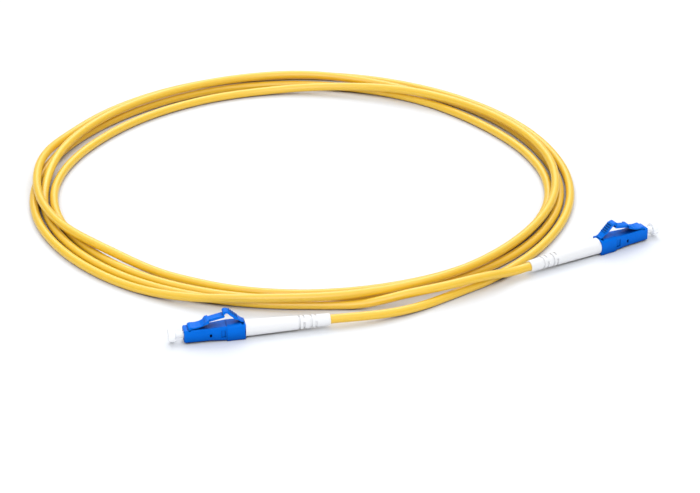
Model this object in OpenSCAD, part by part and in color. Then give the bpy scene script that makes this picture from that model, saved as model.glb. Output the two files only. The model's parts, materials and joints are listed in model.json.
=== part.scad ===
// Simplex fiber optic patch cord: one buffered fiber in a round jacket, wound
// into a loose coil, with a small latching plug on each end.
//
// Each plug is drawn in its own frame: +X runs out of the nose along the fiber,
// X = 0 is the nose face, Z = 0 is the fiber axis and +Z is the latch side.
// The whole cord lies on the plane Z = 0, and the origin is under the middle of
// the box round both plugs.

/* [Cable] */
// Outside diameter of the cable jacket
jacket_d = 3.0; // [2.4:0.1:3.2]
// Diameter of the tight buffer round the fiber
buffer_d = 0.9; // [0.6:0.05:1.0]
// Mean radius of the coil
coil_r = 88; // [80:1:110]
// Centre distance between two strands that lie against each other
strand_pitch = 3.5; // [3.5:0.05:4.5]

/* [Plug body] */
// Width and height of the front housing
housing_w = 4.5; // [4.2:0.05:4.8]
// Width and height that it widens to at its back
housing_back_w = 5.2; // [4.8:0.05:5.3]
// Length of the front housing
housing_l = 14.1; // [13:0.1:17]
// Width of the rear body
rear_w = 5.5; // [5.4:0.1:6.5]
// Height of the rear body, which the plug rests on
rear_h = 5.7; // [5.4:0.1:6.6]
// Length of the rear body
rear_l = 6.2; // [5.5:0.1:8]
// Rounding of the long edges of the front housing and below the rear body
edge_r = 0.4; // [0.2:0.05:0.6]
// Rounding of the two long edges on top of the rear body
shoulder_r = 1.1; // [0.4:0.05:1.3]
// Diameter of the opening in the nose
nose_bore_d = 2.8; // [2.6:0.05:3]
// Depth of the opening in the nose
nose_bore_l = 3.2; // [2.8:0.1:4]
// Thickness of the web behind the nose opening
web_t = 0.6; // [0.4:0.05:1]
// Diameter of the chamber behind the web
chamber_d = 3.4; // [3.3:0.05:3.6]

/* [Ferrule and spring] */
// Diameter of the ceramic ferrule
ferrule_d = 1.25; // [1.2:0.01:1.3]
// How far the ferrule stands out of the nose
ferrule_out = 3.3; // [2:0.1:3.6]
// Diameter of the collar that the spring pushes on
flange_d = 2.9; // [2.7:0.05:3]
// Length of the collar
flange_l = 1.7; // [1.4:0.1:2]
// Travel of the ferrule against its spring
ferrule_travel = 1.0; // [0.6:0.1:1.2]
// Outside diameter of the spring
spring_d = 2.6; // [2.4:0.05:2.8]
// Wire diameter of the spring
spring_wire = 0.3; // [0.2:0.05:0.35]
// Number of turns in the spring
spring_turns = 7; // [5:1:8]

/* [Latch and trigger] */
// Width of the latch arm
latch_w = 3.8; // [3.6:0.1:4.5]
// Width across the two latch lugs
lug_w = 4.3; // [4.2:0.05:4.8]
// Width of the thumb tail behind the lugs
tail_w = 2.5; // [2:0.1:3]
// Width of the trigger
trigger_w = 2.6; // [2.4:0.1:3.2]
// Diameter of the rounded root that an arm bends about
root_d = 0.9; // [0.8:0.05:1.1]
// Number of grip ribs on the trigger
rib_count = 5; // [3:1:6]

/* [Boot and crimp] */
// Length of the strain relief boot
boot_l = 28.3; // [24:0.1:34]
// Boot diameter at the plug
boot_d_front = 5.6; // [5:0.1:6]
// Boot diameter at the cable
boot_d_back = 4.0; // [3.8:0.1:4.6]
// Width of each slot in the boot
slot_w = 0.7; // [0.4:0.05:0.8]
// Outside diameter of the crimp sleeve
sleeve_d = 3.9; // [3.7:0.05:4.1]
// Wall of the crimp sleeve
sleeve_t = 0.3; // [0.2:0.05:0.35]
// Length of the crimp sleeve
sleeve_l = 7.0; // [6:0.1:8]

/* [Dust cap] */
// Diameter of the cap head
cap_head_d = 4.4; // [4:0.1:5]
// Length of the cap head
cap_head_l = 2.1; // [1.5:0.1:3]
// Diameter of the cap neck
cap_neck_d = 2.3; // [2.1:0.05:2.6]
// How far the cap stands out of the nose
cap_out = 4.9; // [4.6:0.1:6.5]
// How far the neck reaches into the nose
cap_in = 3.0; // [2:0.1:3.1]

/* [Hidden] */

$fn = 64;
fit = 0.05;        // radial clearance of a running fit
play = 0.1;        // end clearance between parts that move
blue = "#1766dc";
white = "#f4f4f2";
yellow = "#f5c531";
steel = "#b8bcc2";

// Plug places: nose face on the plane, and the way the nose points
axis_z = rear_h / 2;
nose_a = [-78.06, -36.63, axis_z];
yaw_a = 191.8;
nose_b = [78.04, 35.37, axis_z];
yaw_b = 32;
boot_turn_a = 0;
boot_turn_b = -90;

// Stations along the plug axis, all behind the nose face
rear_front_x = -housing_l;
rear_back_x = rear_front_x - rear_l;
web_back_x = -nose_bore_l - web_t;
flange_front_x = web_back_x - play;
flange_back_x = flange_front_x - flange_l;
snout_l = 2.1;
post_front_x = rear_front_x + snout_l + 0.5;
snout_front_x = rear_front_x + snout_l;
spring_front_x = flange_back_x - fit;
spring_back_x = post_front_x + fit;
flange_tail_x = post_front_x + 0.3;
boot_back_x = rear_back_x - boot_l;
sleeve_front_x = rear_back_x - 0.5;
sleeve_back_x = sleeve_front_x - sleeve_l;
post_back_x = rear_back_x - 4.7;
jacket_front_x = sleeve_back_x + 1.3;

// Diameters that follow from what they hold
post_d = 2.4;
post_head_d = chamber_d - 2 * fit;
snout_bore_d = post_d + 2 * fit;
tail_d = 1.4;
post_bore_d = buffer_d + 0.4;
tail_socket_d = tail_d + 6 * fit;
sleeve_bore_d = sleeve_d - 2 * sleeve_t;
boot_bore_d = jacket_d + 2 * fit;

// Both arms bend about a round root that lies in a trough in the part below
latch_pivot = [-1.9, housing_w / 2 + 0.1];
trigger_pivot = [rear_back_x + 0.95, rear_h / 2 + 0.1];
lug_x = 7.6;             // from the nose face to the latch lugs
tail_x = 13.6;           // from the nose face to the end of the tail
arm_t = 0.95;            // thickness of the latch tail
trigger_rise = 42;       // slope of the trigger's arm

// ---------- building blocks ----------

// Rod along X from one station to another
module rod(from_x, to_x, d) {
    translate([min(from_x, to_x), 0, 0])
        rotate([0, 90, 0])
            cylinder(d = d, h = abs(to_x - from_x));
}

// Flat outline in Y and Z, drawn out along X
module along_x(from_x, to_x) {
    translate([min(from_x, to_x), 0, 0])
        rotate([90, 0, 90])
            linear_extrude(abs(to_x - from_x))
                children();
}

// Side view in X and Z, drawn out evenly to both sides
module across(width) {
    rotate([90, 0, 0])
        linear_extrude(width, center = true)
            children();
}

// Section of a plug body, centred, with its own rounding below and on top
module body_section(w, h, low_r, top_r) {
    r = max(low_r, top_r);
    square([w - 2 * r, h], center = true);
    translate([0, (low_r - top_r) / 2])
        square([w, h - low_r - top_r], center = true);
    translate([0, low_r / 2 - h / 2])
        square([w - 2 * low_r, low_r], center = true);
    for (side = [-1, 1]) {
        translate([side * (w / 2 - low_r), low_r - h / 2])
            circle(r = low_r);
        translate([side * (w / 2 - top_r), h / 2 - top_r])
            circle(r = top_r);
    }
}

// Puts a plug piece at one end of the cord
module at_plug(nose, yaw) {
    translate(nose)
        rotate([0, 0, yaw])
            children();
}

// ---------- front housing with its latch ----------

// Length of the front housing that keeps its width, and the width behind it
housing_straight = 8.5;
function housing_w_at(x) =
    housing_w + (housing_back_w - housing_w) * max(0, -x - housing_straight)
    / (housing_l - housing_straight);

// Slice of the front housing, narrower all round by an inset
module housing_slice(from_x, to_x, w, inset) {
    along_x(from_x, to_x)
        body_section(w - 2 * inset, w - 2 * inset, edge_r, edge_r, $fn = 24);
}

// Side windows of the housing, filled by the snap tabs of the rear body
window_x = -12.9;
window_l = 1.6;
window_h = 2.5;

module front_housing() {
    nose_break = 0.3;
    slice_t = 0.1;
    color(blue)
        difference() {
            union() {
                hull() {
                    housing_slice(0, -slice_t, housing_w, nose_break);
                    housing_slice(-nose_break, -housing_straight, housing_w, 0);
                }
                hull() {
                    housing_slice(-housing_straight, -housing_straight - slice_t, housing_w, 0);
                    housing_slice(rear_front_x + slice_t, rear_front_x, housing_back_w, 0);
                }
            }
            rod(-nose_bore_l, 1, nose_bore_d);
            rod(web_back_x - 1, 1, ferrule_d + 0.45);
            rod(rear_front_x - 1, web_back_x, chamber_d);
            // Trough for the root of the latch arm
            across(housing_w + 1)
                translate(latch_pivot)
                    circle(d = root_d + 2 * fit);
            // Sight hole, and the windows that the rear body snaps into
            translate([-8.8, 0, -0.4])
                cube([0.8, housing_back_w + 1, 1.1], center = true);
            translate([window_x, 0, 0])
                cube([window_l, housing_back_w + 1, window_h], center = true);
        }
}

// Height of the top of the latch tail over the fiber axis
function tail_top(x) = housing_w / 2 + 2.75 + (-x - lug_x) * tan(12);

module latch_arm() {
    top = housing_w / 2;
    lug_back = -lug_x - 0.7;
    color(blue) {
        // Root, and the wide front of the arm that swings up to the lugs
        across(latch_w) {
            translate(latch_pivot)
                circle(d = root_d);
            polygon([
                [-1.5, top + 0.15], [-1.6, top + 0.65], [-2.2, top + 0.93],
                [-4.0, top + 0.85], [-5.6, top + 1.15], [-6.6, top + 1.65],
                [-7.2, top + 2.3], [-lug_x, tail_top(-lug_x)],
                [lug_back, tail_top(lug_back)], [lug_back, top + 1.9],
                [-6.6, top + 1.1], [-4.9, top + 0.52], [-2.6, top + 0.22]
            ]);
        }
        // Lugs, with the shoulder that catches in the socket
        across(lug_w)
            polygon([
                [-6.5, top + 1.3], [-6.9, top + 2.0], [-7.35, top + 2.6],
                [lug_back, top + 2.8], [lug_back, top + 1.95], [-7.4, top + 1.55]
            ]);
        // Thumb tail with a rounded end
        across(tail_w) {
            polygon([
                [-lug_x, tail_top(-lug_x)],
                [-tail_x + arm_t / 2, tail_top(-tail_x + arm_t / 2)],
                [-tail_x + arm_t / 2, tail_top(-tail_x + arm_t / 2) - arm_t],
                [-lug_x, tail_top(-lug_x) - arm_t]
            ]);
            translate([-tail_x + arm_t / 2, tail_top(-tail_x + arm_t / 2) - arm_t / 2])
                circle(d = arm_t);
        }
    }
}

// ---------- rear body with its trigger ----------

// Outline of the rear body from above or from the side, with its back edge cut
module chamfered_back(w) {
    cut = 0.35;
    polygon([
        [rear_front_x + 1, w / 2 + 1], [rear_back_x + cut + 1, w / 2 + 1],
        [rear_back_x + cut, w / 2], [rear_back_x, w / 2 - cut],
        [rear_back_x, cut - w / 2], [rear_back_x + cut, -w / 2],
        [rear_back_x + cut + 1, -w / 2 - 1], [rear_front_x + 1, -w / 2 - 1]
    ]);
}

module rear_body() {
    tab_sink = 0.25;
    color(blue)
        difference() {
            union() {
                intersection() {
                    along_x(rear_back_x, rear_front_x)
                        body_section(rear_w, rear_h, edge_r, shoulder_r);
                    across(rear_w + 1)
                        chamfered_back(rear_h);
                    rotate([90, 0, 0])
                        across(rear_h + 1)
                            chamfered_back(rear_w);
                }
                rod(rear_front_x - 1, snout_front_x, chamber_d - 2 * fit);
                // Snap tabs that fill the windows of the front housing
                translate([window_x, 0, 0])
                    cube([window_l - 2 * fit, housing_w_at(window_x) - 2 * tab_sink, window_h - 2 * fit],
                         center = true);
            }
            rod(rear_back_x - 1, snout_front_x + 1, snout_bore_d);
            across(rear_w + 1)
                translate(trigger_pivot)
                    circle(d = root_d + 2 * fit);
        }
}

// Point of the trigger, so far along its arm from the root and so far outward
function on_trigger(along, outward) =
    trigger_pivot + along * [cos(trigger_rise), sin(trigger_rise)]
    + outward * [-sin(trigger_rise), cos(trigger_rise)];

// Trigger: rises from the back edge and curls over the latch tail, so that a
// thumb or a snagged neighbour presses the latch and never lifts it
module trigger() {
    face = 0.3;
    neck_t = 0.45;
    pad_t = 0.85;
    pad_from = 2.1;
    pad_to = 6.2;
    rib_d = 0.45;
    hook = [-tail_x + 0.25, tail_top(-tail_x + 0.25) + play];
    crown_z = rear_h / 2 + 4.75;
    color(blue) {
        across(trigger_w) {
            translate(trigger_pivot)
                circle(d = root_d);
            polygon([
                // Outer face, over the crown and down the front of the hook
                on_trigger(0, face), on_trigger(pad_to, face),
                [hook[0] - 0.9, crown_z - 0.05], [hook[0] - 0.3, crown_z],
                [hook[0] + 0.15, crown_z - 0.15], [hook[0] + 0.4, crown_z - 0.5],
                hook + [0.4, 0.4], hook + [0.2, 0],
                // Inside of the hook, and back under the thumb pad
                hook + [-0.35, 0.05], hook + [-0.55, 0.4], hook + [-1.2, 0.35],
                on_trigger(pad_to - 0.9, face - pad_t), on_trigger(pad_from + 0.4, face - pad_t),
                on_trigger(pad_from - 0.4, face - neck_t), on_trigger(0.5, face - neck_t),
                on_trigger(0, -face)
            ]);
        }
        // Grip ribs across the thumb face
        for (i = [0 : rib_count - 1])
            across(trigger_w)
                translate(on_trigger(pad_from + (pad_to - pad_from) * (i + 0.5) / rib_count, face))
                    circle(d = rib_d, $fn = 24);
    }
}

// ---------- ferrule, collar and spring ----------

module ferrule() {
    chamfer = 0.2;
    color("#f7f5ee")
        rotate([0, 90, 0])
            rotate_extrude()
                polygon([
                    [0, flange_back_x + 0.3], [ferrule_d / 2, flange_back_x + 0.3],
                    [ferrule_d / 2, ferrule_out - chamfer],
                    [ferrule_d / 2 - chamfer, ferrule_out], [0, ferrule_out]
                ]);
}

module ferrule_flange() {
    buffer_stop_x = flange_back_x - 0.7;
    color(steel)
        difference() {
            union() {
                rod(flange_front_x, flange_back_x, flange_d);
                rod(flange_back_x + 0.1, flange_tail_x, tail_d);
            }
            rod(flange_back_x + 0.3, 0, ferrule_d);
            rod(buffer_stop_x, flange_tail_x - 1, buffer_d + 2 * fit);
            // Four keys stop the collar from turning
            for (a = [0 : 90 : 270])
                rotate([a, 0, 0])
                    translate([flange_front_x - 0.8, -0.2, flange_d / 2 - 0.3])
                        cube([1, 0.4, 1]);
        }
}

module spring() {
    rings_per_turn = 8;
    wire_r = spring_wire / 2;
    mean_r = spring_d / 2 - wire_r;
    first_x = spring_front_x - wire_r;
    last_x = spring_back_x + wire_r;
    steps = spring_turns * rings_per_turn;
    color(steel)
        sweep([for (i = [0 : steps])
            let (a = 360 * i / rings_per_turn)
            [first_x + (last_x - first_x) * i / steps, mean_r * cos(a), mean_r * sin(a)]
        ], spring_wire, 6, [1, 0, 0]);
}

// ---------- back post, crimp and cable end ----------

module back_post() {
    head_l = 0.4;
    color(steel)
        difference() {
            union() {
                rod(post_front_x, post_front_x - head_l, post_head_d);
                rod(post_front_x, post_back_x, post_d);
                rod(rear_back_x - fit, rear_back_x - 0.4, sleeve_bore_d);
                // Rings that bite into the yarn under the crimp
                for (i = [0 : 3])
                    rod(rear_back_x - 1.3 - i, rear_back_x - 1.6 - i, post_d + 0.2);
            }
            rod(post_back_x - 1, post_front_x + 1, post_bore_d);
            rod(flange_tail_x - ferrule_travel - 0.5, post_front_x + 1, tail_socket_d);
        }
}

module crimp_sleeve() {
    color(steel)
        difference() {
            rod(sleeve_front_x, sleeve_back_x, sleeve_d);
            rod(sleeve_front_x + 1, sleeve_back_x - 1, sleeve_bore_d);
        }
}

// Aramid strength yarn, folded back over the post and held by the crimp sleeve
module aramid_yarn() {
    outer = sleeve_bore_d - 2 * fit;
    over_post = post_d + 0.2 + 2 * fit;
    color("#e8c84a")
        difference() {
            rod(sleeve_front_x - fit, jacket_front_x + fit, outer);
            rod(sleeve_front_x + 1, post_back_x - fit, over_post);
            rod(sleeve_front_x + 1, sleeve_back_x - 1, post_bore_d);
        }
}

module buffered_fiber() {
    color(white)
        rod(flange_back_x - 0.7 - ferrule_travel - 0.2, jacket_front_x - 5.5, buffer_d);
}

module jacket_end() {
    color(yellow)
        difference() {
            rod(jacket_front_x, boot_back_x, jacket_d);
            rod(jacket_front_x + 1, jacket_front_x - 6, buffer_d + 4 * fit);
        }
}

// ---------- strain relief boot ----------

// Slots open the boot on alternate sides, so that it bends evenly
module boot(turn) {
    slots = [17.9, 19.4, 21.8, 23.4];
    bridge_w = 1.5;
    bridge_tilt = 45;
    floor_t = 0.25;
    color(white)
        rotate([turn, 0, 0])
            difference() {
                rotate([0, 90, 0])
                    rotate_extrude()
                        polygon([
                            [boot_bore_d / 2, boot_back_x], [boot_d_back / 2 - 0.2, boot_back_x],
                            [boot_d_back / 2, boot_back_x + 0.2],
                            [boot_d_front / 2, rear_back_x], [sleeve_d / 2 + fit, rear_back_x],
                            [sleeve_d / 2 + fit, sleeve_back_x - play],
                            [boot_bore_d / 2, sleeve_back_x - play]
                        ]);
                for (i = [0 : len(slots) - 1]) {
                    x = rear_back_x - slots[i];
                    side = (i % 2 == 0) ? -1 : 1;
                    difference() {
                        rod(x - slot_w / 2, x + slot_w / 2, boot_d_front + 1);
                        rod(x - slot_w, x + slot_w, boot_bore_d + 2 * floor_t);
                        rotate([bridge_tilt, 0, 0])
                            translate([x - slot_w, side > 0 ? 0 : -boot_d_front, -bridge_w / 2])
                                cube([2 * slot_w, boot_d_front, bridge_w]);
                    }
                }
            }
}

// ---------- dust cap ----------

module dust_cap() {
    edge = 0.15;
    wall = 0.5;
    color("#fbfbfb")
        rotate([0, 90, 0])
            rotate_extrude()
                polygon([
                    [0, cap_out], [cap_head_d / 2 - edge, cap_out],
                    [cap_head_d / 2, cap_out - edge],
                    [cap_head_d / 2, cap_out - cap_head_l + edge],
                    [cap_head_d / 2 - edge, cap_out - cap_head_l],
                    [cap_neck_d / 2, cap_out - cap_head_l],
                    [cap_neck_d / 2, -cap_in], [ferrule_d / 2 + fit, -cap_in],
                    [ferrule_d / 2 + fit, cap_out - wall], [0, cap_out - wall]
                ]);
}

// ---------- cable ----------

// Tube along a path. Each ring stands square to the path, with one corner
// pointing away from the given up direction.
module sweep(path, d, sides, up) {
    last = len(path) - 1;
    rings = [for (i = [0 : last])
        let (
            ahead = unit(path[min(i + 1, last)] - path[max(i - 1, 0)]),
            aside = unit(cross(up, ahead)),
            over = cross(ahead, aside)
        )
        for (k = [0 : sides - 1])
            path[i] + d / 2 * (sin(360 * k / sides) * aside - cos(360 * k / sides) * over)
    ];
    walls = [for (i = [0 : last - 1], k = [0 : sides - 1])
        let (
            here = i * sides,
            next = here + sides,
            turn = (k + 1) % sides
        )
        each [[here + k, next + k, next + turn], [here + k, next + turn, here + turn]]
    ];
    first_cap = [for (k = [1 : sides - 2]) [0, k, k + 1]];
    last_cap = [for (k = [1 : sides - 2]) [last * sides, last * sides + k + 1, last * sides + k]];
    polyhedron(rings, concat(walls, first_cap, last_cap));
}

function unit(v) = v / norm(v);

// Centre of the coil on the plane
coil_edge = [2.19, -7.24];   // where the coil's mean circle lies nearest to both plugs
coil_edge_turn = -60;
coil_centre = coil_edge - coil_r * [cos(coil_edge_turn), sin(coil_edge_turn)];
coil_from = -45;       // turn angle where the cable enters the coil
coil_to = 1350;        // turn angle where it leaves, 3.9 turns on
ring_step = 15;
straight = jacket_d;   // straight bit at each end of a stretch

// Which lane of the coil the cable runs in: [turn angle, lanes outside coil_r]
lanes = [
    [-45, 1.3], [-30, 1.5], [0, 2.5], [50, 2.6], [90, 3.0], [120, 3.0], [150, 2.75], [165, 2.3],
    [180, 1.7], [198, 0.5], [210, -0.8], [222, -2.3], [234, -3.4], [265, -3.5], [290, -3.2],
    [315, -1.9], [345, -0.3], [360, 0.4], [380, 0.0], [400, -0.6], [420, 0.0], [450, 0.5],
    [465, 1.0], [500, 1.0], [520, 1.45], [533, 1.9], [550, 1.9], [580, 1.0], [605, 0.2],
    [625, -0.9], [650, -1.0], [690, -0.3], [720, 1.0], [740, 1.2], [770, 0.3], [795, -0.8],
    [820, -0.8], [850, -1.0], [875, -0.8], [890, -0.15], [910, -0.15], [930, -1.0], [965, -2.05],
    [990, -2.4], [1020, -1.5], [1050, 0.3], [1080, 1.5], [1100, 1.3], [1140, 1.7], [1155, 1.25],
    [1200, 0.9], [1250, 0.8], [1265, 0.9], [1280, 0.5], [1300, -0.1], [1335, -1.3], [1370, -1.2]
];

// Where it climbs over other strands: [turn angle, layers above the plane]
layers = [
    [153, 0], [167, 1], [217, 1], [231, 0], [595, 0], [622, 1], [785, 1], [820, 0],
    [1142, 0], [1168, 1], [1247, 1], [1261, 0]
];

// Table value at an angle, with its corners eased over the reach to each side
function eased(a, table, reach) =
    let (s = [for (k = [-2 : 2]) lookup(a + k * reach / 2, table)])
    (s[0] + s[1] + s[2] + s[3] + s[4]) / 5;

function coil_at(a) =
    let (r = coil_r + strand_pitch * eased(a, lanes, 10))
    [
        coil_centre[0] + r * cos(a),
        coil_centre[1] + r * sin(a),
        jacket_d / 2 + strand_pitch * eased(a, layers, 6)
    ];

coil_in_dir = unit(coil_at(coil_from + 1) - coil_at(coil_from));
coil_out_dir = unit(coil_at(coil_to) - coil_at(coil_to - 1));
coil_in = coil_at(coil_from) - straight * coil_in_dir;
coil_out = coil_at(coil_to) + straight * coil_out_dir;
coil_path = concat(
    [coil_in],
    [for (a = [coil_from : ring_step : coil_to]) coil_at(a)],
    [coil_out]
);

// Boot ends, where the cable comes out of each plug
function plug_out(nose, yaw, extra) =
    nose + (boot_back_x - extra) * [cos(yaw), sin(yaw), 0];

// Free stretch from plug A to the coil
lead_a_path = concat(
    [plug_out(nose_a, yaw_a, 0), plug_out(nose_a, yaw_a, straight)],
    [
        [-19.31, -24.13, 2.6], [-12.31, -21.83, 2.2], [-5.31, -18.53, 1.8], [1.69, -14.03, 1.5],
        [8.69, -8.83, 1.5], [15.19, -3.73, 1.5]
    ],
    [coil_in - straight * coil_in_dir, coil_in]
);

// Free stretch from the coil over stretch A to plug B
lead_b_path = concat(
    [coil_out, coil_out + straight * coil_out_dir],
    [
        [-28.31, -14.73, 1.5], [-20.31, -14.73, 1.9], [-13.31, -14.23, 3.1], [-5.31, -12.83, 4.6],
        [2.69, -10.43, 5.2], [10.69, -7.03, 5.3], [17.69, -3.13, 5.1], [23.69, 0.57, 4.5],
        [28.49, 4.07, 3.4]
    ],
    [plug_out(nose_b, yaw_b, 2 * straight), plug_out(nose_b, yaw_b, 0)]
);

module cable_coil() {
    color(yellow)
        sweep(coil_path, jacket_d, 6, [0, 0, 1]);
}

module cable_lead(path) {
    color(yellow)
        sweep(path, jacket_d, 8, [0, 0, 1]);
}

// Least gap between turns of the coil, on points 5 degrees apart
gap_points = [for (a = [coil_from : 5 : coil_to]) coil_at(a)];
gap_skip = 18;
least_gap = min([for (i = [0 : len(gap_points) - gap_skip - 1])
    min([for (j = [i + gap_skip : len(gap_points) - 1]) norm(gap_points[i] - gap_points[j])])
]) - jacket_d;
echo(least_gap_in_coil_mm = least_gap);

function path_length(p, i = 0) =
    i + 1 >= len(p) ? 0 : norm(p[i + 1] - p[i]) + path_length(p, i + 1);
echo(cable_length_mm = [path_length(lead_a_path), path_length(coil_path), path_length(lead_b_path)]);

// ---------- nodes ----------

cable_coil();
cable_lead(lead_a_path);  // cable_lead_a
cable_lead(lead_b_path);  // cable_lead_b
at_plug(nose_a, yaw_a) front_housing();  // front_housing_a
at_plug(nose_b, yaw_b) front_housing();  // front_housing_b
at_plug(nose_a, yaw_a) latch_arm();  // latch_arm_a
at_plug(nose_b, yaw_b) latch_arm();  // latch_arm_b
at_plug(nose_a, yaw_a) rear_body();  // rear_body_a
at_plug(nose_b, yaw_b) rear_body();  // rear_body_b
at_plug(nose_a, yaw_a) trigger();  // trigger_a
at_plug(nose_b, yaw_b) trigger();  // trigger_b
at_plug(nose_a, yaw_a) ferrule();  // ferrule_a
at_plug(nose_b, yaw_b) ferrule();  // ferrule_b
at_plug(nose_a, yaw_a) ferrule_flange();  // ferrule_flange_a
at_plug(nose_b, yaw_b) ferrule_flange();  // ferrule_flange_b
at_plug(nose_a, yaw_a) spring();  // spring_a
at_plug(nose_b, yaw_b) spring();  // spring_b
at_plug(nose_a, yaw_a) back_post();  // back_post_a
at_plug(nose_b, yaw_b) back_post();  // back_post_b
at_plug(nose_a, yaw_a) crimp_sleeve();  // crimp_sleeve_a
at_plug(nose_b, yaw_b) crimp_sleeve();  // crimp_sleeve_b
at_plug(nose_a, yaw_a) aramid_yarn();  // aramid_yarn_a
at_plug(nose_b, yaw_b) aramid_yarn();  // aramid_yarn_b
at_plug(nose_a, yaw_a) buffered_fiber();  // buffered_fiber_a
at_plug(nose_b, yaw_b) buffered_fiber();  // buffered_fiber_b
at_plug(nose_a, yaw_a) jacket_end();  // jacket_end_a
at_plug(nose_b, yaw_b) jacket_end();  // jacket_end_b
at_plug(nose_a, yaw_a) boot(boot_turn_a);  // boot_a
at_plug(nose_b, yaw_b) boot(boot_turn_b);  // boot_b
at_plug(nose_a, yaw_a) dust_cap();  // dust_cap_a
at_plug(nose_b, yaw_b) dust_cap();  // dust_cap_b
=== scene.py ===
"""Looks of a simplex fiber optic patch cord: yellow cable in a loose coil, a small
blue latching plug, a white slotted boot and a dust cap on each end.

Lengths are in millimetres, and MM turns them into the metres of the row frame. Only
the stage and the lights are written in metres. Each plug has a frame of its own (+X
out of the nose, Z up, the nose face at X = 0), placed by the record's mounts.
"""

import json
from math import atan2, cos, pi, radians, sin

import bpy
import numpy as np
from mathutils import Matrix, Vector


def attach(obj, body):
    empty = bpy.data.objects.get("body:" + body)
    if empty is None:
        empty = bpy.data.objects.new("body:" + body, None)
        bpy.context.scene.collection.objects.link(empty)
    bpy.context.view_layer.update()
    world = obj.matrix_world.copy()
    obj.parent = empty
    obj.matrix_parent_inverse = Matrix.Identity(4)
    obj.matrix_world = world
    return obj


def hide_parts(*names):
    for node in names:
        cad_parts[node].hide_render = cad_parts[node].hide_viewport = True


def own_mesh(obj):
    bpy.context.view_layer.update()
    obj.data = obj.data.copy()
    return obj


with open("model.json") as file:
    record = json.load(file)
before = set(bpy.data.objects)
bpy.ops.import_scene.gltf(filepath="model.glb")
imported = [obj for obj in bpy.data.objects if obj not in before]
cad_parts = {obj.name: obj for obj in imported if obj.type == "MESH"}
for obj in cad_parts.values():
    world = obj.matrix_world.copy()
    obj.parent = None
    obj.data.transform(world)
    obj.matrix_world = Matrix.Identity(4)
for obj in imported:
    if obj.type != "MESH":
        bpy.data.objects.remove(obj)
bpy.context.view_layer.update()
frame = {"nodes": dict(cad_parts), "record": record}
RECORD = frame["record"]
MM = 0.001

# ---------------------------------------------------------------- camera

TARGET = (-23.91, 29.37, 0.0)
CAMERA_DISTANCE = 1000.0
CAMERA_ELEVATION = radians(28.0)
LENS = 149.04
SENSOR_WIDTH = 36.0
NEAREST, FARTHEST = 10.0, 20000.0


def make_camera():
    data = bpy.data.cameras.new("camera")
    data.lens = LENS
    data.sensor_width = SENSOR_WIDTH
    data.clip_start = NEAREST * MM
    data.clip_end = FARTHEST * MM
    camera = bpy.data.objects.new("camera", data)
    back = Vector((0.0, -cos(CAMERA_ELEVATION), sin(CAMERA_ELEVATION)))
    camera.location = Vector(TARGET) * MM + CAMERA_DISTANCE * MM * back
    camera.rotation_euler = (pi / 2 - CAMERA_ELEVATION, 0.0, 0.0)
    bpy.context.scene.collection.objects.link(camera)
    bpy.context.scene.camera = camera


# ---------------------------------------------------------------- plug frames

HOUSING_L = 14.1
REAR_L = 6.2
BOOT_L = 28.3
BOOT_BACK_X = -HOUSING_L - REAR_L - BOOT_L


def mount(name):
    return next(m for m in RECORD["mounts"] if m["name"] == name)


def plug_matrix(end):
    """From the plug's own frame, in mm, to the row frame, in metres."""
    nose = mount("plug_nose_" + end)
    yaw = atan2(nose["axis"][1], nose["axis"][0])
    return Matrix.Translation(nose["pos_m"]) @ Matrix.Rotation(yaw, 4, "Z") @ Matrix.Scale(MM, 4)


# ---------------------------------------------------------------- cable

JACKET_D = 3.0
STRAIGHT = JACKET_D             # straight run at each boot and each end of the coil
COIL_CENTRE = (-41.81, 68.97)
COIL_R = 88.0
STRAND_PITCH = 3.5
COIL_FROM, COIL_TO = -45, 1350  # turn angles, degrees
COIL_STEP = 5
LANE_EASE, LAYER_EASE = 10, 6   # degrees to each side of a corner of the tables below
EASE_SAMPLES = 5
BEVEL_RESOLUTION = 6            # gives the round section 16 sides
ROUTE_RESOLUTION = 3            # steps between two points of the route

# Lane of the coil that the cable runs in: (turn angle, lanes outside the mean radius)
LANES = [
    (-45, 1.3), (-30, 1.5), (0, 2.5), (50, 2.6), (90, 3.0), (120, 3.0), (150, 2.75), (165, 2.3),
    (180, 1.7), (198, 0.5), (210, -0.8), (222, -2.3), (234, -3.4), (265, -3.5), (290, -3.2),
    (315, -1.9), (345, -0.3), (360, 0.4), (380, 0.0), (400, -0.6), (420, 0.0), (450, 0.5),
    (465, 1.0), (500, 1.0), (520, 1.45), (533, 1.9), (550, 1.9), (580, 1.0), (605, 0.2),
    (625, -0.9), (650, -1.0), (690, -0.3), (720, 1.0), (740, 1.2), (770, 0.3), (795, -0.8),
    (820, -0.8), (850, -1.0), (875, -0.8), (890, -0.15), (910, -0.15), (930, -1.0), (965, -2.05),
    (990, -2.4), (1020, -1.5), (1050, 0.3), (1080, 1.5), (1100, 1.3), (1140, 1.7), (1155, 1.25),
    (1200, 0.9), (1250, 0.8), (1265, 0.9), (1280, 0.5), (1300, -0.1), (1335, -1.3), (1370, -1.2),
]
# Where it climbs over other strands: (turn angle, layers above the plane)
LAYERS = [
    (153, 0), (167, 1), (217, 1), (231, 0), (595, 0), (622, 1), (785, 1), (820, 0),
    (1142, 0), (1168, 1), (1247, 1), (1261, 0),
]
# Free stretches: from plug A to the coil, and from the coil to plug B
LEAD_A = [
    (-19.31, -24.13, 2.6), (-12.31, -21.83, 2.2), (-5.31, -18.53, 1.8), (1.69, -14.03, 1.5),
    (8.69, -8.83, 1.5), (15.19, -3.73, 1.5),
]
LEAD_B = [
    (-28.31, -14.73, 1.5), (-20.31, -14.73, 1.9), (-13.31, -14.23, 3.1), (-5.31, -12.83, 4.6),
    (2.69, -10.43, 5.2), (10.69, -7.03, 5.3), (17.69, -3.13, 5.1), (23.69, 0.57, 4.5),
    (28.49, 4.07, 3.4),
]


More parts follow.
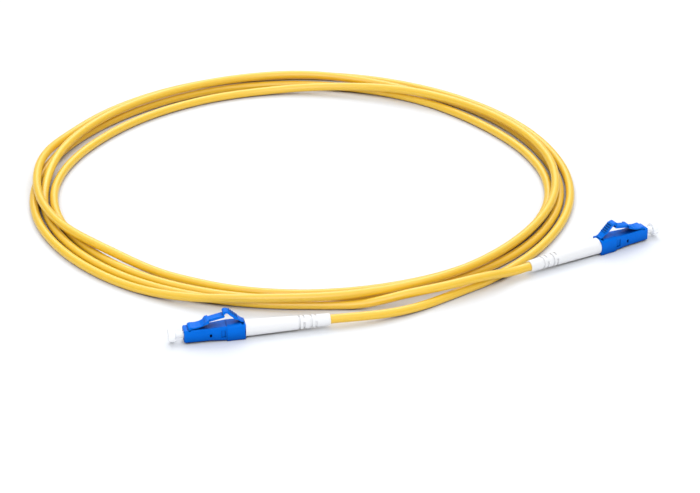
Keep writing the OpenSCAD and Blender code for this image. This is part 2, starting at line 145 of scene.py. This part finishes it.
def eased(angle, table, reach):
    """Table value at an angle, with its corners eased over the reach to each side."""
    x, y = zip(*table)
    near = angle + np.linspace(-reach, reach, EASE_SAMPLES)
    return float(np.mean(np.interp(near, x, y)))


def coil_at(angle):
    r = COIL_R + STRAND_PITCH * eased(angle, LANES, LANE_EASE)
    a = radians(angle)
    z = JACKET_D / 2 + STRAND_PITCH * eased(angle, LAYERS, LAYER_EASE)
    return Vector((COIL_CENTRE[0] + r * cos(a), COIL_CENTRE[1] + r * sin(a), z))


def cable_route():
    """Points of the whole cable from boot to boot, in metres."""
    def boot_mouth(end, extra):
        return plug_matrix(end) @ Vector((BOOT_BACK_X - extra, 0, 0)) / MM

    into = (coil_at(COIL_FROM + 1) - coil_at(COIL_FROM)).normalized() * STRAIGHT
    out = (coil_at(COIL_TO) - coil_at(COIL_TO - 1)).normalized() * STRAIGHT
    points = [boot_mouth("a", 0), boot_mouth("a", STRAIGHT)]
    points += [Vector(p) for p in LEAD_A] + [coil_at(COIL_FROM) - into]
    points += [coil_at(a) for a in range(COIL_FROM, COIL_TO + 1, COIL_STEP)]
    points += [coil_at(COIL_TO) + out] + [Vector(p) for p in LEAD_B]
    points += [boot_mouth("b", 2 * STRAIGHT), boot_mouth("b", STRAIGHT), boot_mouth("b", 0)]
    return [p * MM for p in points]


def make_cable(material):
    route = cable_route()
    curve = bpy.data.curves.new("cable", "CURVE")
    curve.dimensions = "3D"
    curve.bevel_depth = JACKET_D / 2 * MM
    curve.bevel_resolution = BEVEL_RESOLUTION
    curve.resolution_u = ROUTE_RESOLUTION
    curve.use_fill_caps = True
    spline = curve.splines.new("BEZIER")
    spline.bezier_points.add(len(route) - 1)
    for point, co in zip(spline.bezier_points, route):
        point.co = co
        point.handle_left_type = point.handle_right_type = "AUTO"
    curve.materials.append(material)
    cable = bpy.data.objects.new("cable", curve)
    bpy.context.scene.collection.objects.link(cable)
    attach(cable, "cord")
    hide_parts("cable_coil", "cable_lead_a", "cable_lead_b")


# ---------------------------------------------------------------- materials

# The scale of a drift or a grain is that of its noise, per metre.

MIX_FACTOR, MIX_LOW, MIX_HIGH, MIX_RESULT = 0, 6, 7, 2  # sockets of a mix of two colours
# Samples of the ambient occlusion that places the painted shade
PAINTED_SHADE_SAMPLES = 12
DRIFT_DETAIL, GRAIN_DETAIL = 3.0, 4.0
GRAIN_DEPTH = 0.1

# Materials of the inner pieces: (darker, lighter, metallic, roughness, scale of the drift)
PLAIN_LOOKS = {
    "ceramic": ((0.88, 0.86, 0.80), (0.93, 0.91, 0.86), 0.0, 0.15, 300.0),
    "steel": ((0.42, 0.43, 0.45), (0.55, 0.56, 0.58), 1.0, 0.3, 300.0),
    "nickel": ((0.52, 0.50, 0.46), (0.64, 0.62, 0.58), 1.0, 0.25, 300.0),
    "aramid": ((0.62, 0.45, 0.07), (0.80, 0.62, 0.14), 0.0, 0.6, 900.0),
    "white_buffer": ((0.80, 0.80, 0.78), (0.88, 0.88, 0.86), 0.0, 0.4, 300.0),
}
PLAIN_ROUGHNESS_SPREAD = 0.06   # to each side
PLAIN_GRAIN_PER_DRIFT = 12      # how much finer the grain is


def new_material(name, colour, roughness):
    """A principled material with its constants on the shader's own sockets."""
    material = bpy.data.materials.new(name)
    material.use_nodes = True
    shader = material.node_tree.nodes["Principled BSDF"]
    shader.inputs["Base Color"].default_value = (*colour, 1.0)
    shader.inputs["Roughness"].default_value = roughness
    return material, shader


def set_subsurface(shader, weight, radius, scale):
    shader.inputs["Subsurface Weight"].default_value = weight
    shader.inputs["Subsurface Radius"].default_value = radius
    shader.inputs["Subsurface Scale"].default_value = scale * MM


def noise(tree, scale, detail):
    """Noise over the object's own coordinates."""
    where = tree.nodes.new("ShaderNodeTexCoord")
    texture = tree.nodes.new("ShaderNodeTexNoise")
    texture.inputs["Scale"].default_value = scale
    texture.inputs["Detail"].default_value = detail
    tree.links.new(where.outputs["Object"], texture.inputs["Vector"])
    return texture.outputs["Fac"]


def mix_from(tree, factor, low):
    """Mix node that starts at the low colour, its high end left to the caller."""
    mix = tree.nodes.new("ShaderNodeMix")
    mix.data_type = "RGBA"
    mix.inputs[MIX_LOW].default_value = (*low, 1.0)
    tree.links.new(factor, mix.inputs[MIX_FACTOR])
    return mix


def add_painted_shade(tree, colour, shade_colour, reach, shut, clear):
    """Colour socket with painted shade: it turns to a darker colour in grooves and where pieces
    meet, as ambient occlusion finds them.
    """
    # Painted shade: ambient occlusion picks the hollows, and the colour darkens there
    near = tree.nodes.new("ShaderNodeAmbientOcclusion")
    near.samples = PAINTED_SHADE_SAMPLES
    near.inputs["Distance"].default_value = reach * MM
    span = tree.nodes.new("ShaderNodeMapRange")
    span.inputs["From Min"].default_value = shut
    span.inputs["From Max"].default_value = clear
    tree.links.new(near.outputs["AO"], span.inputs["Value"])
    mix = mix_from(tree, span.outputs["Result"], shade_colour)
    tree.links.new(colour, mix.inputs[MIX_HIGH])
    return mix.outputs[MIX_RESULT]


def drift(material, shader, low, high, scale, painted_shade=None):
    """Slow drift between two colours, with painted shade in crevices when its settings are
    given.
    """
    tree = material.node_tree
    mix = mix_from(tree, noise(tree, scale, DRIFT_DETAIL), low)
    mix.inputs[MIX_HIGH].default_value = (*high, 1.0)
    colour = mix.outputs[MIX_RESULT]
    if painted_shade:
        colour = add_painted_shade(tree, colour, **painted_shade)
    tree.links.new(colour, shader.inputs["Base Color"])


def grain(material, shader, scale, bump, rough):
    """Fine grain in the surface, and between two values of its roughness."""
    tree = material.node_tree
    height = noise(tree, scale, GRAIN_DETAIL)
    relief = tree.nodes.new("ShaderNodeBump")
    relief.inputs["Strength"].default_value = bump
    relief.inputs["Distance"].default_value = GRAIN_DEPTH * MM
    tree.links.new(height, relief.inputs["Height"])
    tree.links.new(relief.outputs["Normal"], shader.inputs["Normal"])
    spread = tree.nodes.new("ShaderNodeMapRange")
    spread.inputs["To Min"].default_value = rough[0]
    spread.inputs["To Max"].default_value = rough[1]
    tree.links.new(height, spread.inputs["Value"])
    tree.links.new(spread.outputs["Result"], shader.inputs["Roughness"])


def jacket_material():
    material, shader = new_material("yellow_jacket", (0.78, 0.48, 0.012), 0.4)
    # Painted shade: dark orange-brown in the grooves between strands and where they touch
    painted_shade = dict(shade_colour=(0.36, 0.13, 0.0), reach=1.8, shut=0.05, clear=0.5)
    drift(material, shader, (0.74, 0.445, 0.009), (0.81, 0.51, 0.015), scale=18.0, painted_shade=painted_shade)
    grain(material, shader, scale=2600.0, bump=0.12, rough=(0.32, 0.44))
    shader.inputs["Specular IOR Level"].default_value = 0.95
    set_subsurface(shader, weight=0.08, radius=(1.0, 0.6, 0.15), scale=0.8)
    return material


def blue_material(name, painted_shade):
    material, shader = new_material(name, (0.0, 0.14, 0.66), 0.3)
    drift(material, shader, (0.0, 0.125, 0.61), (0.0, 0.155, 0.71), scale=160.0, painted_shade=painted_shade)
    grain(material, shader, scale=5200.0, bump=0.06, rough=(0.24, 0.36))
    shader.inputs["Specular IOR Level"].default_value = 0.05
    return material


def boot_material():
    material, shader = new_material("white_boot", (0.80, 0.80, 0.81), 0.5)
    # Painted shade: grey in the boot's slots and where it meets the body
    painted_shade = dict(shade_colour=(0.30, 0.30, 0.32), reach=0.7, shut=0.1, clear=0.7)
    drift(material, shader, (0.74, 0.74, 0.75), (0.78, 0.78, 0.785), scale=120.0, painted_shade=painted_shade)
    grain(material, shader, scale=4200.0, bump=0.1, rough=(0.44, 0.58))
    return material


def cap_material():
    material, shader = new_material("white_cap", (0.85, 0.86, 0.87), 0.45)
    drift(material, shader, (0.83, 0.84, 0.85), (0.87, 0.88, 0.885), scale=200.0)
    grain(material, shader, scale=5200.0, bump=0.05, rough=(0.38, 0.52))
    set_subsurface(shader, weight=0.35, radius=(1.0, 1.0, 1.0), scale=2.0)
    return material


def plain_material(name, low, high, metallic, roughness, scale):
    material, shader = new_material(name, low, roughness)
    shader.inputs["Metallic"].default_value = metallic
    rough = (roughness - PLAIN_ROUGHNESS_SPREAD, roughness + PLAIN_ROUGHNESS_SPREAD)
    drift(material, shader, low, high, scale=scale)
    grain(material, shader, scale=scale * PLAIN_GRAIN_PER_DRIFT, bump=0.1, rough=rough)
    return material


def make_materials():
    # Painted shade on the blue body: darker blue under the latch and where parts meet
    housing_painted_shade = dict(shade_colour=(0.0, 0.03, 0.20), reach=4.0, shut=0.3, clear=0.98)
    # Painted shade on the trigger: near-black blue in the gaps between its ribs
    rib_painted_shade = dict(shade_colour=(0.0, 0.008, 0.05), reach=0.7, shut=0.72, clear=0.98)
    made = {
        "yellow_jacket": jacket_material(),
        "blue_plastic": blue_material("blue_plastic", housing_painted_shade),
        "blue_grip_painted_shade": blue_material("blue_grip_painted_shade", rib_painted_shade),
        "white_boot": boot_material(),
        "white_cap": cap_material(),
    }
    for name, look in PLAIN_LOOKS.items():
        made[name] = plain_material(name, *look)
    return made


# ---------------------------------------------------------------- CAD nodes that show

BEVELLED = ("front_housing", "rear_body", "latch_arm", "trigger")
BEVEL_WIDTH = 0.1
BEVEL_SEGMENTS = 3
BEVEL_ANGLE = radians(40)


def dress_cad(materials):
    """Each CAD node gets its material, and the moulded blue ones a small bevel."""
    slots = {s["node"]: s["material_slot"] for s in RECORD["subparts"]}
    for name, node in frame["nodes"].items():
        # Triggers take the blue with painted shade in their rib gaps
        look = "blue_grip_painted_shade" if name.startswith("trigger") else slots[name]
        node.data.materials.clear()
        node.data.materials.append(materials[look])
        if name.startswith(BEVELLED):
            bevel = node.modifiers.new("edges", "BEVEL")
            bevel.width = BEVEL_WIDTH * MM
            bevel.segments = BEVEL_SEGMENTS
            bevel.limit_method = "ANGLE"
            bevel.angle_limit = BEVEL_ANGLE


# ---------------------------------------------------------------- ferrule springs

SPRING_FRONT_X = -5.65
SPRING_BACK_X = -11.45
SPRING_D = 2.6
SPRING_WIRE = 0.3
SPRING_TURNS = 7
CLOSED_PITCH = 1.1 * SPRING_WIRE    # of the closed turn at each end
STEPS_PER_TURN = 20
WIRE_SIDES = 8
SHARP_ANGLE = radians(35)


def skin(rings):
    """Closed tube through rings that all have the same number of points."""
    n = len(rings[0])
    verts = [tuple(p) for ring in rings for p in ring]
    last = len(verts) - n
    faces = []
    for a in range(0, last, n):
        b = a + n
        faces += [(a + k, a + (k + 1) % n, b + (k + 1) % n, b + k) for k in range(n)]
    faces.append(tuple(reversed(range(n))))
    faces.append(tuple(range(last, last + n)))
    return verts, faces


def spring_rings():
    """Rings of points round the wire, in the plug's own frame."""
    wire_r = SPRING_WIRE / 2
    mean_r = SPRING_D / 2 - wire_r
    first, last = SPRING_FRONT_X - wire_r, SPRING_BACK_X + wire_r
    turns = (0, 1, SPRING_TURNS - 1, SPRING_TURNS)
    places = (first, first - CLOSED_PITCH, last + CLOSED_PITCH, last)
    sides = [2 * pi * k / WIRE_SIDES for k in range(WIRE_SIDES)]
    rings = []
    for i in range(SPRING_TURNS * STEPS_PER_TURN + 1):
        turn = i / STEPS_PER_TURN
        out = Vector((0, cos(2 * pi * turn), sin(2 * pi * turn)))
        centre = Vector((float(np.interp(turn, turns, places)), 0, 0)) + mean_r * out
        rings.append([centre + wire_r * (cos(b) * out + Vector((sin(b), 0, 0))) for b in sides])
    return rings


def make_spring(end, material):
    """Spring behind the ferrule, a fixed coil of wire with a closed turn at each end."""
    name = "ferrule_spring_" + end
    verts, faces = skin(spring_rings())
    mesh = bpy.data.meshes.new(name)
    mesh.from_pydata(verts, [], faces)
    mesh.transform(plug_matrix(end))
    mesh.validate()
    mesh.update()
    mesh.shade_smooth()
    mesh.set_sharp_from_angle(angle=SHARP_ANGLE)
    mesh.materials.append(material)
    piece = bpy.data.objects.new(name, mesh)
    bpy.context.scene.collection.objects.link(piece)
    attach(piece, "cord")
    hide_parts("spring_" + end)
    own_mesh(piece)


# ---------------------------------------------------------------- stage and light, in metres

FLOOR_SIZE = 6.0
LIGHT_SIZE = 1.8
LIGHT_WATTS = 22.0
LIGHT_PLACES = {"back": (-0.05, 1.5, 1.6), "front": (-0.1, -2.0, 1.1)}
SKY_COLOUR = (0.97, 0.985, 1.0, 1.0)
SKY_LOW, SKY_HIGH = 0.3, 0.85           # heights on the unit sphere
SKY_DIM, SKY_BRIGHT = 0.4, 1.35         # strengths below and above them


def make_stage():
    bpy.ops.mesh.primitive_plane_add(size=FLOOR_SIZE, location=(0, 0, 0))
    floor = bpy.context.object
    floor.name = "floor"
    material, shader = new_material("floor", (0.72, 0.735, 0.765), 0.9)
    # Painted shadow on the floor: dark brown where it is most hemmed in, as between strands of
    # the coil
    painted_shade = dict(shade_colour=(0.05, 0.028, 0.01), reach=5.0, shut=0.04, clear=0.27)
    drift(material, shader, (0.715, 0.73, 0.76), (0.725, 0.74, 0.77), scale=3.0, painted_shade=painted_shade)
    floor.data.materials.append(material)


def make_sky():
    """A wide soft light overhead that fades towards the horizon."""
    world = bpy.data.worlds.new("studio")
    world.use_nodes = True
    tree = world.node_tree
    back = tree.nodes["Background"]
    back.inputs["Color"].default_value = SKY_COLOUR
    where = tree.nodes.new("ShaderNodeTexCoord")
    split = tree.nodes.new("ShaderNodeSeparateXYZ")
    fade = tree.nodes.new("ShaderNodeMapRange")
    fade.interpolation_type = "SMOOTHSTEP"
    fade.inputs["From Min"].default_value = SKY_LOW
    fade.inputs["From Max"].default_value = SKY_HIGH
    fade.inputs["To Min"].default_value = SKY_DIM
    fade.inputs["To Max"].default_value = SKY_BRIGHT
    tree.links.new(where.outputs["Generated"], split.inputs["Vector"])
    tree.links.new(split.outputs["Z"], fade.inputs["Value"])
    tree.links.new(fade.outputs["Result"], back.inputs["Strength"])
    bpy.context.scene.world = world


def make_area_light(name, where):
    """A soft round light aimed at the origin."""
    data = bpy.data.lights.new(name, "AREA")
    data.shape = "DISK"
    data.size = LIGHT_SIZE
    data.energy = LIGHT_WATTS
    light = bpy.data.objects.new(name, data)
    light.location = where
    light.rotation_euler = (-Vector(where)).to_track_quat("-Z", "Y").to_euler()
    bpy.context.scene.collection.objects.link(light)


make_camera()
looks = make_materials()
make_cable(looks["yellow_jacket"])
dress_cad(looks)
for plug_end in "ab":
    make_spring(plug_end, looks["steel"])
make_stage()
make_sky()
for light_name, light_place in LIGHT_PLACES.items():
    make_area_light(light_name, light_place)
view = bpy.context.scene.view_settings
view.view_transform = "Standard"
